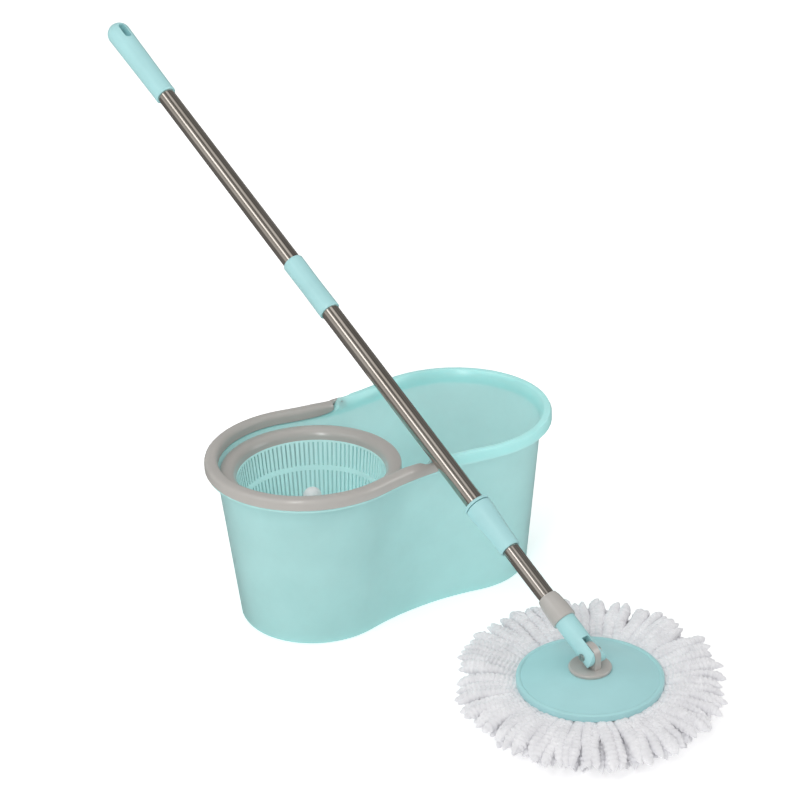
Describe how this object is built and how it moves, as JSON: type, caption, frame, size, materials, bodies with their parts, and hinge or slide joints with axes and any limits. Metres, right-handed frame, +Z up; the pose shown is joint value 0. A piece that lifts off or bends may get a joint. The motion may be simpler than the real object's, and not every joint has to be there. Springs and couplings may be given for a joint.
{
  "type": "spin mop",
  "caption": "Two-lobed wash bucket with a spin basket and carrying handle, and a telescopic pump-action mop with a tilting round strand head leaning on its rim.",
  "frame": {"origin": "middle of the bucket's base, on the floor, between the two lobes' centres", "axes": "+X to the wash lobe, -X to the spin lobe, -Y to the mop head, +Y the way the pole leans, +Z up"},
  "size_m": [0.4373, 1.05, 0.5867],
  "materials": {
    "tub_plastic": "satin moulded polypropylene",
    "basket_plastic": "satin moulded, thin and milky polypropylene",
    "teal_plastic": "satin moulded polypropylene",
    "grey_plastic": "satin moulded polypropylene",
    "white_plastic": "satin moulded",
    "nylon": "matte moulded",
    "steel_tube": "polished stainless",
    "steel_parts": "bright steel",
    "strand_yarn": "soft looped microfibre"
  },
  "bodies": {
    "bucket": {"bucket_shell": "tub_plastic", "basket_spindle": "steel_parts", "thrust_washer": "nylon", "spindle_clip": "steel_parts"},
    "bail": {"bail_handle": "grey_plastic"},
    "spin_basket": {"basket": "basket_plastic", "basket_ring": "grey_plastic", "basket_bush": "nylon", "center_post": "white_plastic"},
    "mop_head": {"head_plate": "teal_plastic", "head_hub": "grey_plastic", "hub_screws": "steel_parts", "refill_ring": "white_plastic", "strands": "strand_yarn"},
    "lower_pole": {"fork": "teal_plastic", "hinge_pin": "steel_parts", "collar": "grey_plastic", "lower_tube": "steel_tube", "ratchet_housing": "nylon", "drive_nut": "nylon", "housing_cap": "nylon"},
    "guide": {"guide_ring": "nylon"},
    "outer_pole": {"middle_tube": "steel_tube", "upper_tube": "steel_tube", "mid_sleeve": "teal_plastic", "joiner_spigot": "nylon", "grip": "teal_plastic", "sleeve_core": "teal_plastic", "guide_bush": "nylon", "lock_collet": "nylon", "twisted_rod": "steel_parts", "rod_anchor": "nylon", "rod_pin": "steel_parts"},
    "lock": {"lock_sleeve": "teal_plastic"}
  },
  "joints": [
    {"name": "bail_swing", "type": "hinge", "parent": "bucket", "child": "bail", "pos_m": [0.0044, 0, 0.1978], "axis": [0, 1, 0], "range_deg": [0, 38]},
    {"name": "basket_spin", "type": "hinge", "parent": "bucket", "child": "spin_basket", "pos_m": [-0.0975, 0, 0.09], "axis": [0, 0, 1], "continuous": true},
    {"name": "mop_lift", "type": "slide", "parent": "bucket", "child": "mop_head", "axis": [0, 0, 1], "range_m": [0, 0.3]},
    {"name": "head_tilt", "type": "hinge", "parent": "mop_head", "child": "lower_pole", "pos_m": [0.0267, -0.3691, 0.0751], "axis": [0.996, 0.0889, 0], "range_deg": [0, 121.8]},
    {"name": "head_spin", "type": "hinge", "parent": "lower_pole", "child": "guide", "pos_m": [-0.0112, 0.05561, 0.31243], "axis": [-0.0777, 0.8703, 0.4863], "range_deg": [0, 540.01]},
    {"name": "pump_slide", "type": "slide", "parent": "guide", "child": "outer_pole", "axis": [-0.0777, 0.8703, 0.4863], "range_m": [0, 0.18]},
    {"name": "lock_twist", "type": "hinge", "parent": "outer_pole", "child": "lock", "pos_m": [0.01272, -0.21244, 0.16264], "axis": [-0.0777, 0.8703, 0.4863], "range_deg": [0, 90]}
  ],
  "couplings": [
    {"joint": "head_spin", "follows": "pump_slide", "rad_per_m": 52.36}
  ]
}
